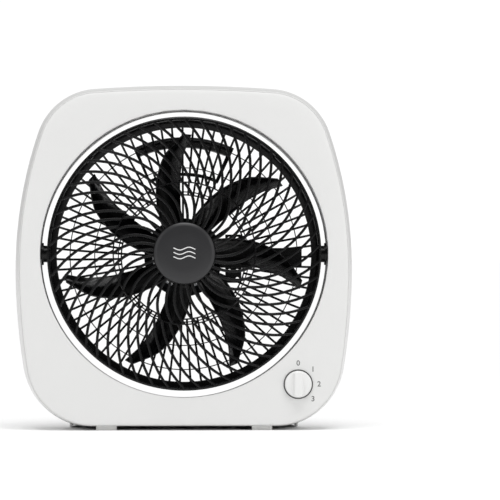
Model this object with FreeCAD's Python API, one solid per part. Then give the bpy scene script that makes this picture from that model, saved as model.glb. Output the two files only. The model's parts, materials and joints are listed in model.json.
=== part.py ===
"""Box fan: a white two-shell housing on a foot plate, with a round black fan head that
tilts in it on two pivots.  Millimetres.  +X right, -Y front, +Z up, floor at Z = 0."""
import FreeCAD
import Part
import math
import os

V = FreeCAD.Vector
os.makedirs("parts", exist_ok=True)

# ---- driving dimensions --------------------------------------------------------------
LEAN = 2.3                 # degrees that the whole fan leans back
AXIS_Z = 210.8             # height of the fan axis at the face
FACE_Y = -60.75            # the face plane on the fan axis
WALL = 2.5                 # thickness of the housing's plastic

# Outline of the housing, about the fan axis: a flat bottom and tangent arcs
BOTTOM = -207.7            # height of the flat bottom
BOTTOM_HALF = 109.8        # half length of the flat bottom
ARCS = ((84.8, 80.8), (735.0, 9.2), (512.0, 18.9), (77.4, 67.0))   # (radius, degrees)

FACE_BORDER = 16.5         # width over which the face rolls back ...
FACE_ROLL = ((1.0, 0.0), (0.45, 0.9), (0.08, 3.2), (0.0, 7.0))   # ... as (share of it, depth)
FACE_FLARE = 5.2           # the side wall widens by this from the face's edge ...
FLARE_END = 26.0           # ... to this depth
PART_MID = 45.0            # depth of the parting plane on the axis
PART_SLOPE = 0.092         # it runs back towards the floor
BACK_RISE = 13.7           # rise of the sloped back border ...
BACK_RUN = 57.0            # ... over this run
OPENING_R = 171.7          # round opening for the head

# Foot plate
PLATE_HALF = 138.0
PLATE_REAR = 55.0
PLATE_Z = 1.2
PLATE_TOP_REAR = 12.0
PLATE_TOP_FRONT = 20.0
PLATE_CORNER = 24.0

# Feet, and the inlet for the mains lead
REAR_FOOT_X = 112.0
REAR_FOOT_Y = 41.0
FRONT_FOOT_X = 92.8
FRONT_FOOT_W = 24.3
FRONT_FOOT_Y = (-58.0, -38.0)
GLAND_X = -40.0
GLAND_Z = 30.0
GLAND_HOLE_R = 7.0
GLAND_BORE_R = 4.0

# Head
HEAD_R = 163.6             # outside of the rim
RIM_T = 3.0
RIM_FRONT = -2.0
RIM_JOIN = 6.0             # the two grilles meet here
DOME_FRONT = -8.7          # middle of the front grille
GRILLE_T = 3.2
RING_R = 84.7              # support ring of the front grille
RING_W = 3.0
CAP_R = 36.2
RIB_W = 3.0
# Swirl of the ribs: degrees = a + b u + c u u, where u = (radius - middle) / half
OUTER_SWIRL = (3.6, 11.3, 0.3, 122.6, 34.5)    # (a, b, c, middle, half)
INNER_SWIRL = (9.7, 6.9, 2.1, 62.5, 19.6)
OUTER_RIBS = 54
INNER_RIBS = 36
REAR_RIBS = 75
REAR_SWIRL = (4.2, 0.0, 0.0, 0.0, 1.0)
REAR_RIB_W = 2.6
REAR_PLATE_R = 47.0
REAR_RING_R = 78.5
REAR_RIB_END_R = 160.0     # the ribs spring from the end of the drum
DRUM_END_Y = 42.0
LIP_R = 153.0              # the drum's inward lip round the blade tips
LIP_Y = 34.0
REAR_FLAT_R = 41.0
REAR_FLAT_Y = 135.6
REAR_PROFILE = ((HEAD_R, RIM_JOIN + 0.3), (HEAD_R, 20.0), (160.8, DRUM_END_Y), (153.6, 60.0), (144.5, 76.0),
                (129.0, 90.5), (110.0, 102.0), (78.0, 115.5), (54.0, 125.0), (REAR_FLAT_R, REAR_FLAT_Y))

# Pivots
PIVOT_Y = 20.0
NECK_R = 10.0
PIN_R = 7.0
FLANGE_R = 13.3
FLANGE_T = 2.3
FLANGE_X = 168.0
BUSH_R = 11.0
BUSH_END = 184.0
RUN_GAP = 0.06

# Carrying handle, a hood at the top of the rear grille
HANDLE_HALF_DEG = 25.0
HANDLE_R = 145.0
HANDLE_LOW_R = 99.0
HANDLE_REAR = 107.4
HANDLE_T = 3.0
GRIP_R = 133.5
GRIP_FRONT = 96.0

# Impeller
TIP_R = 146.0
HUB_R = 38.0
HUB_FRONT = 24.0
HUB_REAR = 60.0
BLADES = 7
BLADE_T = 2.2
BLADE_RADII = (37.0, 60.0, 90.0, 120.0, TIP_R)
LEAD_DEG = (42.0, 42.0, 41.3, 38.8, 34.8)
TRAIL_DEG = (77.0, 69.0, 60.0, 50.3, 38.6)
LEAD_Y = (57.5, 56.0, 53.0, 49.0, 43.0)
TRAIL_Y = (26.0, 26.5, 29.0, 33.0, 39.5)

# Motor
SHAFT_R = 4.0
MOTOR_R = 38.0
MOTOR_FRONT = 70.0
MOTOR_SPLIT = 100.0
MOTOR_REAR = 132.2
ROTOR_R = 20.5
STACK = (92.0, 114.0)

# Speed knob and switch
KNOB_X = 135.6
KNOB_Z = -156.0
KNOB_R = 15.9
KNOB_OUT = 10.0

KNOB_SHAFT_R = 3.0
SKIRT_OUT = 4.6
GRIP_HALF = 5.8
TRIM_GAP = 0.4
TRIM_W = 1.3
TRIM_OUT = 1.2
SWITCH_R = 13.5
SWITCH_DEPTH = (12.0, 27.0)
SWITCH_NECK_R = 4.6
TAB_HALF = 2.4
TAB_END = 35.0
LEAD_R = 2.4

# Cable arm from the motor to the right pivot, wire guard beside it, and grille clips
ARM_X = (44.0, 143.0)
ARM_DEPTH = (62.5, 69.0)
ARM_Z = (-15.0, 9.0)
ARM_WALL = 2.0
GUARD_X = (48.0, 72.0)
GUARD_DEPTH = (70.5, 72.5)
GUARD_Z = (-34.0, 24.0)
GUARD_SLOTS = 11
SLOT_PITCH = 5.0
SLOT_W = 2.5
CLIPS = 4
CLIP_HALF = 5.0
CLIP_DEPTH = (2.5, 13.0)
CLIP_T = 1.9

BOSS_R = 5.0               # screw posts of the shells
SCREW_R = 1.65
SCREW_HEAD_R = 3.6
SCREWS = ((187.0, 62.0), (187.5, -62.0), (75.0, 180.0), (70.0, -183.0))


# ---- helpers ---------------------------------------------------------------------------
def cyl(radius, start, end, x=0.0, z=0.0):
    """A cylinder along Y, from depth start to depth end."""
    return Part.makeCylinder(radius, end - start, V(x, start, z), V(0, 1, 0))


def tube(outer, inner, start, end, x=0.0, z=0.0):
    return cyl(outer, start, end, x, z).cut(cyl(inner, start - 1, end + 1, x, z))


def xcyl(radius, start, end, y=0.0, z=0.0):
    """A cylinder along X."""
    low, high = min(start, end), max(start, end)
    return Part.makeCylinder(radius, high - low, V(low, y, z), V(1, 0, 0))


def box(x0, x1, y0, y1, z0, z1):
    return Part.makeBox(x1 - x0, y1 - y0, z1 - z0, V(x0, y0, z0))


def polar(radius, degrees, y=0.0):
    angle = math.radians(degrees)
    return V(radius * math.cos(angle), y, radius * math.sin(angle))


def turned(points, degrees=360.0, start=0.0):
    """Revolve a closed profile of (radius, depth) points about the fan axis."""
    corners = [V(r, y, 0) for r, y in points]
    face = Part.Face(Part.makePolygon(corners + corners[:1]))
    face.rotate(V(0, 0, 0), V(0, 1, 0), -start)
    return face.revolve(V(0, 0, 0), V(0, 1, 0), -degrees)


def arc(a, b, c):
    return Part.Arc(a, b, c).toShape()


def outline(inset, y):
    """The housing's outline, moved in by inset, in the plane at depth y."""
    x, z, heading = BOTTOM_HALF, BOTTOM + inset, 0.0
    right = []
    for radius, turn in ARCS:
        radius -= inset
        cx = x - radius * math.sin(math.radians(heading))
        cz = z + radius * math.cos(math.radians(heading))
        marks = []
        for part in (0.0, 0.5, 1.0):
            angle = math.radians(heading + part * turn)
            marks.append((cx + radius * math.sin(angle), cz - radius * math.cos(angle)))
        right.append(marks)
        heading += turn
        x, z = marks[2]
    # the last arc is centred on the middle line, so it crosses it square
    radius = x / math.sin(math.radians(heading))
    cz = z + radius * math.cos(math.radians(heading))
    middle = math.radians((heading + 180.0) / 2)
    right.append([(x, z), (radius * math.sin(middle), cz - radius * math.cos(middle)), (0.0, cz + radius)])
    base = BOTTOM + inset
    edges = [Part.LineSegment(V(-BOTTOM_HALF, y, base), V(BOTTOM_HALF, y, base)).toShape()]
    for marks in right:
        edges.append(arc(*[V(px, y, pz) for px, pz in marks]))
    for marks in reversed(right):
        edges.append(arc(*[V(-px, y, pz) for px, pz in reversed(marks)]))
    return Part.Wire(edges)


def prism(inset, start, end):
    return Part.Face(outline(inset, start)).extrude(V(0, end - start, 0))


def behind_parting(shift=0.0):
    """Everything behind the parting plane of the two shells."""
    big = box(-400, 400, 0, 400, -400, 400)
    big.rotate(V(0, 0, 0), V(1, 0, 0), math.degrees(math.atan(PART_SLOPE)))
    big.translate(V(0, PART_MID + shift, 0))
    return big


def parting_y(z):
    return PART_MID - PART_SLOPE * z


def sink(shape):
    """Put a shape drawn about the fan axis in its place on the floor frame."""
    shape = shape.copy()
    shape.rotate(V(0, 0, 0), V(1, 0, 0), -LEAN)
    shape.translate(V(0, FACE_Y, AXIS_Z))
    return shape


def both(shape):
    """A shape and its mirror image."""
    return [shape, shape.mirror(V(0, 0, 0), V(1, 0, 0))]


def group(shapes):
    return Part.makeCompound([s for shape in shapes for s in shape.Solids])


def save(name, shape, placed=False):
    """Write one node.  Shapes are drawn about the fan axis unless placed is true."""
    shape = shape if placed else sink(shape)
    solids = shape.Solids
    if len(solids) == 1:
        shape = solids[0]
    assert shape.isValid() and solids, name
    shape.exportStep("parts/%s.step" % name)
    b = shape.BoundBox
    print("%-18s solids %2d  vol %8.1f cm3  x %6.1f %6.1f  y %6.1f %6.1f  z %6.1f %6.1f" % (
        name, len(solids), shape.Volume / 1000, b.XMin, b.XMax, b.YMin, b.YMax, b.ZMin, b.ZMax))
    return shape


# ---- housing ---------------------------------------------------------------------------
def face_block(inset, depth):
    """The housing's filled front: a face that rolls back to a flaring side wall."""
    steps = [(FACE_FLARE + share * FACE_BORDER, back) for share, back in FACE_ROLL]
    steps.append((0.0, FLARE_END))
    block = Part.makeLoft([outline(inset + i, depth + y) for i, y in steps], True, True)
    return block.fuse(prism(inset, depth + FLARE_END, 95.0))


def back_block(inset, lift):
    """The filled rear: the outline cut by the sloped border."""
    reach = 12.0
    slope = BACK_RISE / BACK_RUN
    rings = [outline(inset - reach, lift - reach * slope), outline(inset + BACK_RUN, lift + BACK_RISE)]
    block = Part.makeLoft(rings, True, True)
    block.rotate(V(0, 0, 0), V(1, 0, 0), math.degrees(math.atan(PART_SLOPE)))
    block.translate(V(0, PART_MID + 1.5, 0))
    deep = prism(inset, 5.0, 95.0).cut(behind_parting(1.5 + lift - 2.0))
    return deep.fuse(block.common(prism(inset, 5.0, 95.0)))


def screw_places():
    return [(side * x, z) for x, z in SCREWS for side in (1, -1)]


def front_housing():
    shell = face_block(0.0, 0.0).cut(face_block(WALL, WALL))
    extra = [cyl(OPENING_R + WALL, 0.4, 75.0)]
    for x, z in screw_places():
        extra.append(cyl(BOSS_R, WALL - 0.5, 75.0, x, z))
    for side in (1, -1):
        extra.append(xcyl(BUSH_R + 3.0, side * (OPENING_R + 0.5), side * (BUSH_END - 0.5), PIVOT_Y))
    extra.append(tube(12.0, 9.0, WALL - 0.5, 8.0, KNOB_X, KNOB_Z))
    filled = face_block(0.0, 0.0)
    shell = shell.fuse([piece.common(filled) for piece in extra])
    cuts = [behind_parting(), cyl(OPENING_R, -5, 95), cyl(5.2, -5, 12, KNOB_X, KNOB_Z)]
    for side in (1, -1):
        cuts.append(xcyl(BUSH_R, side * 160, side * 196, PIVOT_Y))
    for x, z in screw_places():
        cuts.append(cyl(1.75, 8.0, 90.0, x, z))
    return shell.cut(cuts)


def rear_housing():
    inner = back_block(WALL, -WALL * 1.03)
    outer = back_block(0.0, 0.0)
    shell = outer.cut(inner)
    extra = [cyl(OPENING_R + WALL, 20, 95)]
    for x, z in screw_places():
        extra.append(cyl(BOSS_R, 20, 95, x, z))
    shell = shell.fuse([piece.common(outer) for piece in extra])
    cuts = [cyl(OPENING_R, -5, 120)]
    for x, z in screw_places():
        cuts.append(cyl(1.9, -5, 120, x, z))
        cuts.append(cyl(4.0, parting_y(z) + 4.0, 120, x, z))
    shell = sink(shell.common(behind_parting(0.05)).cut(cuts))
    gland = Part.makeCylinder(GLAND_HOLE_R, 40, V(GLAND_X, -25, GLAND_Z), V(0, 1, 0))
    return shell.cut(gland)


def foot_plate():
    """A shallow tray behind the housing, open below."""
    def slab(grow):
        front, rear = -3.0, PLATE_REAR - grow
        low = PLATE_Z if grow == 0 else PLATE_Z - 5
        profile = [V(0, front, low), V(0, rear - 3, low), V(0, rear, max(low, PLATE_Z) + 3 - grow * 0.5),
                   V(0, rear, PLATE_TOP_REAR - 3 - grow), V(0, rear - 3, PLATE_TOP_REAR - grow),
                   V(0, front, PLATE_TOP_FRONT - grow)]
        half = PLATE_HALF - grow
        body = Part.Face(Part.makePolygon(profile + profile[:1])).extrude(V(2 * half, 0, 0))
        body.translate(V(-half, 0, 0))
        plan = box(-half, half, -60, rear, -20, 40)
        corner = PLATE_CORNER - grow
        upright = [e for e in plan.Edges if e.BoundBox.ZLength > 50 and e.BoundBox.YMin > 0]
        return body.common(plan.makeFillet(corner, upright))
    tray = slab(0.0).cut(slab(WALL))
    posts = []
    for side in (1, -1):
        post = Part.makeCylinder(9.0, 14, V(side * REAR_FOOT_X, REAR_FOOT_Y, PLATE_Z), V(0, 0, 1))
        posts.append(post.common(slab(0.0)))
    return tray.fuse(posts).cut(sink(back_block(0.0, 0.0)))


def feet():
    pads = []
    for side in (1, -1):
        pad = box(side * FRONT_FOOT_X - FRONT_FOOT_W / 2, side * FRONT_FOOT_X + FRONT_FOOT_W / 2,
                  FRONT_FOOT_Y[0], FRONT_FOOT_Y[1], 0.0, 12.0)
        pads.append(pad.cut(sink(face_block(0.0, 0.0))))
    save("front_feet", group(pads), placed=True)
    pads = []
    for side in (1, -1):
        pads.append(Part.makeCylinder(8.0, PLATE_Z, V(side * REAR_FOOT_X, REAR_FOOT_Y, 0), V(0, 0, 1)))
    save("rear_feet", group(pads), placed=True)


def housing_parts():
    save("front_housing", front_housing())
    save("rear_housing", rear_housing(), placed=True)
    save("foot_plate", foot_plate(), placed=True)
    screws = []
    for x, z in screw_places():
        seat = parting_y(z) + 4.0
        screws.append(cyl(SCREW_HEAD_R, seat, seat + 2.4, x, z).fuse(cyl(SCREW_R, seat - 22, seat, x, z)))
    save("housing_screws", group(screws))
    feet()
    bush = tube(GLAND_HOLE_R, GLAND_BORE_R, 0, 14)
    bush = bush.fuse(tube(10.0, GLAND_BORE_R, 14, 20))
    bush.translate(V(GLAND_X, -9.0, GLAND_Z))
    save("cord_gland", bush.cut(clear_of_rear_wall()), placed=True)


def clear_of_rear_wall():
    """The stretch of the gland's flange that would cut into the sloped wall."""
    wall = sink(back_block(0.0, 0.0))
    return wall.cut(Part.makeCylinder(GLAND_HOLE_R, 60, V(GLAND_X, -30, GLAND_Z), V(0, 1, 0)))


# ---- speed switch ----------------------------------------------------------------------
def switch_parts():
    x, z = KNOB_X, KNOB_Z
    inner = KNOB_R + TRIM_GAP
    save("knob_trim_ring", tube(inner + TRIM_W, inner, -TRIM_OUT, 0.0, x, z))
    skirt = cyl(KNOB_R, -SKIRT_OUT, -0.4, x, z)
    front_edge = min(skirt.Edges[:3], key=lambda e: e.BoundBox.YMax)
    skirt = skirt.makeFillet(1.2, [front_edge])
    grip = box(x - GRIP_HALF, x + GRIP_HALF, -KNOB_OUT, -4.0, z - KNOB_R - 2, z + KNOB_R + 2)
    grip = grip.common(cyl(KNOB_R - 0.6, -KNOB_OUT, -4.0, x, z))
    hole = KNOB_SHAFT_R + 0.06
    save("speed_knob", skirt.fuse(grip).cut(cyl(KNOB_SHAFT_R + 0.05, -6.0, 2.0, x, z)))
    save("switch_shaft", cyl(KNOB_SHAFT_R, -6.0, 20.0, x, z))
    front, rear = SWITCH_DEPTH
    body = cyl(SWITCH_R, front, rear, x, z).fuse(tube(SWITCH_NECK_R, hole, WALL + 1.0, front, x, z))
    save("switch_body", body.cut(cyl(hole, WALL + 0.5, 21.0, x, z)))
    corners = [polar(7.5, 60 * k, WALL + 1.1) for k in range(7)]
    nut = Part.Face(Part.makePolygon(corners)).extrude(V(0, 3, 0))
    nut.translate(V(x, 0, z))
    save("switch_nut", nut.cut(cyl(SWITCH_NECK_R, 0, 10, x, z)))
    tabs = [box(x + dx - TAB_HALF, x + dx + TAB_HALF, rear, TAB_END, z + dz - 0.4, z + dz + 0.4)
            for dx, dz in ((-6, 6), (6, 6), (-6, -6), (6, -6), (0, 0))]
    save("switch_terminals", group(tabs))
    route = [V(x, 34, z + 9), V(x + 8, 30, z + 24), V(160, 28, -100), V(172, 28, -62), V(183, 24, -32),
             V(190.5, 21, -14), V(190.5, 20, -3)]
    save("housing_leads", run_of_wire(route, LEAD_R))


def run_of_wire(points, radius):
    """Straight wires with ball corners, fused."""
    pieces = []
    for a, b in zip(points, points[1:]):
        pieces.append(Part.makeCylinder(radius, (b - a).Length, a, b - a))
    for p in points[1:-1]:
        pieces.append(Part.makeSphere(radius, p))
    return pieces[0].fuse(pieces[1:])


# ---- pivots ----------------------------------------------------------------------------
def pivot_parts():
    washers, screws = [], []
    for side, name in ((1, "right"), (-1, "left")):
        neck = xcyl(NECK_R, side * (HEAD_R + 0.05), side * FLANGE_X, PIVOT_Y)
        pin = xcyl(PIN_R, side * FLANGE_X, side * (BUSH_END + 1.0), PIVOT_Y)
        trunnion = neck.fuse(pin)
        bore = 3.0 if side > 0 else 1.6
        trunnion = trunnion.cut(xcyl(bore, side * 150, side * 200, PIVOT_Y))
        save(name + "_trunnion", trunnion)
        bush = xcyl(BUSH_R - 0.02, side * (OPENING_R + 0.1), side * BUSH_END, PIVOT_Y)
        save(name + "_bushing", bush.cut(xcyl(PIN_R + RUN_GAP, side * 160, side * 200, PIVOT_Y)))
        washer = xcyl(FLANGE_R, side * (FLANGE_X + 0.02), side * (FLANGE_X + FLANGE_T), PIVOT_Y)
        washers.append(washer.cut(xcyl(PIN_R + 0.02, side * 160, side * 200, PIVOT_Y)))
    save("friction_washers", group(washers))
    keeper = xcyl(BUSH_R - 1.0, BUSH_END + 1.05, BUSH_END + 2.6, PIVOT_Y)
    keeper = keeper.cut(xcyl(3.0, 150, 200, PIVOT_Y))
    end = xcyl(BUSH_R - 1.0, -(BUSH_END + 1.05), -(BUSH_END + 2.6), PIVOT_Y)
    end = end.fuse(xcyl(1.55, -(BUSH_END + 1.1), -(BUSH_END - 14), PIVOT_Y))
    save("pivot_keepers", group([keeper, end]))


# ---- head ------------------------------------------------------------------------------
def swirled(radius, swirl):
    a, b, c, middle, half = swirl
    u = (radius - middle) / half
    return a + b * u + c * u * u


def cell(r_in, r_out, start, end, swirl, width, depth):
    """The gap between two swirling ribs, from radius r_in to r_out, as a prism."""
    r_mid = (r_in + r_out) / 2

    def side(radius, degrees, sign):
        rate = (swirled(radius + 0.5, swirl) - swirled(radius - 0.5, swirl))
        slant = math.atan(radius * math.radians(rate))
        half = math.degrees(width / 2 / radius / math.cos(slant))
        return degrees + swirled(radius, swirl) + sign * half

    low = [side(r, start, 1) for r in (r_in, r_mid, r_out)]
    high = [side(r, end, -1) for r in (r_in, r_mid, r_out)]
    y0, y1 = depth
    if swirl[1]:
        rise = arc(polar(r_in, low[0], y0), polar(r_mid, low[1], y0), polar(r_out, low[2], y0))
        fall = arc(polar(r_out, high[2], y0), polar(r_mid, high[1], y0), polar(r_in, high[0], y0))
    else:
        rise = Part.LineSegment(polar(r_in, low[0], y0), polar(r_out, low[2], y0)).toShape()
        fall = Part.LineSegment(polar(r_out, high[2], y0), polar(r_in, high[0], y0)).toShape()
    outer = arc(polar(r_out, low[2], y0), polar(r_out, (low[2] + high[2]) / 2, y0), polar(r_out, high[2], y0))
    inner = arc(polar(r_in, high[0], y0), polar(r_in, (low[0] + high[0]) / 2, y0), polar(r_in, low[0], y0))
    edges = [rise, outer, fall, inner]
    return Part.Face(Part.Wire(edges)).extrude(V(0, y1 - y0, 0))


def cells(count, r_in, r_out, swirl, width, depth):
    pitch = 360.0 / count
    return [cell(r_in, r_out, k * pitch, (k + 1) * pitch, swirl, width, depth) for k in range(count)]


def dome_line(shift):
    """The front grille's dome from the middle to the rim, as (radius, depth)."""
    lip = HEAD_R - RIM_T
    line = []
    for radius in (CAP_R + 1.5, 70.0, 100.0, 130.0, lip):
        sag = (RIM_FRONT - DOME_FRONT) * (radius / lip) ** 2
        line.append((radius, DOME_FRONT + sag + shift))
    return [(0.0, line[0][1])] + line


def front_grille():
    lip = HEAD_R - RIM_T
    back = list(reversed(dome_line(GRILLE_T)))
    rim = [(HEAD_R, RIM_FRONT + 0.8), (HEAD_R, RIM_JOIN), (lip, RIM_JOIN)]
    dome = turned(dome_line(0.0) + rim + back)
    gaps = cells(OUTER_RIBS, RING_R + RING_W / 2, lip - 0.8, OUTER_SWIRL, RIB_W, (-20, 20))
    gaps += cells(INNER_RIBS, CAP_R + 1.5, RING_R - RING_W / 2, INNER_SWIRL, RIB_W, (-20, 20))
    return dome.cut(Part.makeCompound(gaps))


def rear_filled():
    """The rear grille's outer shape with nothing cut out."""
    return turned([(0.0, REAR_PROFILE[0][1])] + list(REAR_PROFILE) + [(0.0, REAR_FLAT_Y)])


def rear_grille():
    inner = [(r - RIM_T, y) if y < 65 else (r - RIM_T * 0.75, y - RIM_T * 0.75) for r, y in REAR_PROFILE]
    inner[0] = (inner[0][0], inner[0][1] - 1)
    inner[-1] = (REAR_FLAT_R - RIM_T * 0.5, REAR_FLAT_Y - RIM_T)
    hollow = turned([(0.0, inner[0][1])] + inner + [(0.0, inner[-1][1])])
    shell = rear_filled().cut(hollow)
    drum = HEAD_R - RIM_T
    lip = turned([(LIP_R, LIP_Y), (drum, LIP_Y), (drum, LIP_Y + WALL), (LIP_R, LIP_Y + WALL)])
    shell = shell.fuse(lip)
    gaps = cells(REAR_RIBS, REAR_RING_R + 2, REAR_RIB_END_R, REAR_SWIRL, REAR_RIB_W, (DRUM_END_Y, 145))
    gaps += cells(REAR_RIBS // 3, REAR_PLATE_R, REAR_RING_R - 2, REAR_SWIRL, REAR_RIB_W, (DRUM_END_Y, 145))
    shell = shell.cut(Part.makeCompound(gaps))
    holes = [cyl(2.2, 120, 145, *spot) for spot in motor_screw_places()]
    return shell.cut(holes)


def motor_screw_places():
    return [(19.0, 19.0), (-19.0, 19.0), (-19.0, -19.0), (19.0, -19.0)]


def carry_handle():
    begin = 90.0 - HANDLE_HALF_DEG
    sweep = 2 * HANDLE_HALF_DEG

    def sector(r0, r1, y0, y1, start=begin, degrees=sweep):
        return turned([(r0, y0), (r1, y0), (r1, y1), (r0, y1)], degrees, start)

    hood = sector(HANDLE_R - HANDLE_T, HANDLE_R, 70.0, HANDLE_REAR)
    pieces = [sector(GRIP_R, HANDLE_R - HANDLE_T + 0.5, GRIP_FRONT, HANDLE_REAR),
              sector(HANDLE_LOW_R, HANDLE_LOW_R + 4, 95.0, HANDLE_REAR)]
    thick = math.degrees(HANDLE_T / 130)
    for start in (begin, begin + sweep - thick):
        pieces.append(sector(HANDLE_LOW_R, HANDLE_R, 70.0, HANDLE_REAR, start, thick))
    return hood.fuse(pieces).cut(rear_filled())


def cable_arm():
    """A flat channel behind the blades, from the motor to the right pivot."""
    outer = box(*ARM_X, *ARM_DEPTH, *ARM_Z)
    hollow = box(ARM_X[0] - 4, ARM_X[1] - ARM_WALL, ARM_DEPTH[0] + ARM_WALL, ARM_DEPTH[1] + 0.5,
                 ARM_Z[0] + ARM_WALL, ARM_Z[1] - ARM_WALL)
    return outer.cut(hollow)


def wire_guard():
    """A small plate with slots that closes the channel beside the motor."""
    plate = box(*GUARD_X, *GUARD_DEPTH, *GUARD_Z)
    lows = [GUARD_Z[0] + 3.0 + SLOT_PITCH * k for k in range(GUARD_SLOTS)]
    slots = [box(GUARD_X[0] + 3, GUARD_X[1] - 3, GUARD_DEPTH[0] - 1, GUARD_DEPTH[1] + 1, low, low + SLOT_W)
             for low in lows]
    return plate.cut(Part.makeCompound(slots))


def head_parts():
    save("front_grille", front_grille())
    seat = dome_line(0.0)[0][1]
    save("hub_cap", turned([(0, seat - 2.4), (CAP_R - 3, seat - 2.0), (CAP_R, seat - 0.8), (CAP_R, seat),
                            (0, seat)]))
    save("rear_grille", rear_grille())
    save("carry_handle", carry_handle())
    save("cable_arm_cover", cable_arm())
    save("wire_guard", wire_guard())
    clips = []
    clip_top = HEAD_R - RIM_T - 0.3
    for k in range(CLIPS):
        clip = box(-CLIP_HALF, CLIP_HALF, *CLIP_DEPTH, clip_top - CLIP_T, clip_top)
        clip.rotate(V(0, 0, 0), V(0, 1, 0), 45 + 360.0 / CLIPS * k)
        clips.append(clip)
    save("grille_clips", group(clips))
    save("motor_leads", run_of_wire([V(44, 67.0, -3), V(100, 67.0, -3), V(140.0, 67.0, -3)], 2.2))


# ---- impeller and motor ----------------------------------------------------------------
def blade():
    lead, trail = Part.BSplineCurve(), Part.BSplineCurve()
    lead.interpolate([polar(r, a, y) for r, a, y in zip(BLADE_RADII, LEAD_DEG, LEAD_Y)])
    trail.interpolate([polar(r, a, y) for r, a, y in zip(BLADE_RADII, TRAIL_DEG, TRAIL_Y)])
    sheet = Part.makeRuledSurface(lead.toShape(), trail.toShape())
    return sheet.extrude(V(0, BLADE_T, 0))


def impeller():
    hub = turned([(SHAFT_R + 0.03, HUB_FRONT), (HUB_R - 3, HUB_FRONT), (HUB_R, HUB_FRONT + 3),
                  (HUB_R, HUB_REAR + 1), (HUB_R - 2.5, HUB_REAR + 1), (HUB_R - 2.5, HUB_FRONT + 3),
                  (9, HUB_FRONT + 3), (9, HUB_REAR), (SHAFT_R + 0.03, HUB_REAR)])
    one = blade()
    blades = []
    for k in range(BLADES):
        copy = one.copy()
        copy.rotate(V(0, 0, 0), V(0, 1, 0), -360.0 * k / BLADES)
        blades.append(copy)
    return hub.fuse(blades)


def motor_parts():
    save("impeller", impeller())
    nut = turned([(0, 12.0), (6, 12.0), (9, 15.0), (11, HUB_FRONT - 0.05), (SHAFT_R + 0.03, HUB_FRONT - 0.05),
                  (SHAFT_R + 0.03, 15.0), (0, 15.0)])
    save("impeller_nut", nut)
    save("motor_shaft", cyl(SHAFT_R, 15.5, 126.0))
    save("rotor", tube(ROTOR_R, SHAFT_R + 0.02, *STACK))
    rings = [tube(7.5, SHAFT_R + 0.03, 80.6, 82.2), tube(7.5, SHAFT_R + 0.03, 118.6, 120.0)]
    save("thrust_washers", group(rings))
    core = tube(MOTOR_R - 2.2, ROTOR_R + 0.5, *STACK)
    slots = [box(-2.0, 2.0, 60, 130, ROTOR_R, ROTOR_R + 9) for k in range(16)]
    for k, slot in enumerate(slots):
        slot.rotate(V(0, 0, 0), V(0, 1, 0), 360.0 * k / 16)
    save("stator_core", core.cut(Part.makeCompound(slots)))
    bore = ROTOR_R + 1.5
    coils = [tube(33.0, bore, 82.0, STACK[0] - 0.1), tube(33.0, bore, STACK[1] + 0.1, 122.0)]
    save("stator_windings", group(coils))
    bell = cyl(MOTOR_R, MOTOR_FRONT, MOTOR_SPLIT).cut(cyl(MOTOR_R - 2, MOTOR_FRONT + 2, MOTOR_SPLIT + 1))
    bell = bell.fuse(cyl(11, MOTOR_FRONT, 80.0)).cut(cyl(8.5, MOTOR_FRONT - 1, 81))
    save("motor_front_bell", bell)
    bell = cyl(MOTOR_R, MOTOR_SPLIT + 0.05, MOTOR_REAR).cut(cyl(MOTOR_R - 2, MOTOR_SPLIT, MOTOR_REAR - 2))
    bell = bell.fuse(cyl(11, 121.0, MOTOR_REAR)).cut(cyl(8.5, 120.5, 129.0))
    ears = [cyl(5.0, MOTOR_REAR - 6, MOTOR_REAR, x, z) for x, z in motor_screw_places()]
    holes = [cyl(1.9, MOTOR_REAR - 7, MOTOR_REAR + 2, x, z) for x, z in motor_screw_places()]
    save("motor_rear_bell", bell.fuse(ears).cut(holes))
    bushes = [tube(8.48, SHAFT_R + 0.03, MOTOR_FRONT + 0.5, 80.0), tube(8.48, SHAFT_R + 0.03, 121.1, 128.5)]
    save("motor_bushings", group(bushes))
    screws = []
    for x, z in motor_screw_places():
        screws.append(cyl(1.8, MOTOR_REAR - 6, REAR_FLAT_Y + 0.05, x, z).fuse(
            cyl(3.8, REAR_FLAT_Y + 0.05, REAR_FLAT_Y + 2.0, x, z)))
    save("motor_screws", group(screws))


housing_parts()
switch_parts()
pivot_parts()
head_parts()
motor_parts()
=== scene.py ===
"""Box fan: a white two-shell housing on a foot plate, with a round black head tilting in it.

Pieces are drawn in millimetres about the fan axis (x right, y back into the fan, z up the face)
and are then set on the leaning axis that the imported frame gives.
"""
import json
from math import asin, copysign, cos, hypot, pi, radians, sin

import bmesh
import bpy
from bpy.props import FloatProperty, FloatVectorProperty, IntProperty, PointerProperty
from mathutils import Matrix, Vector


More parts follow.
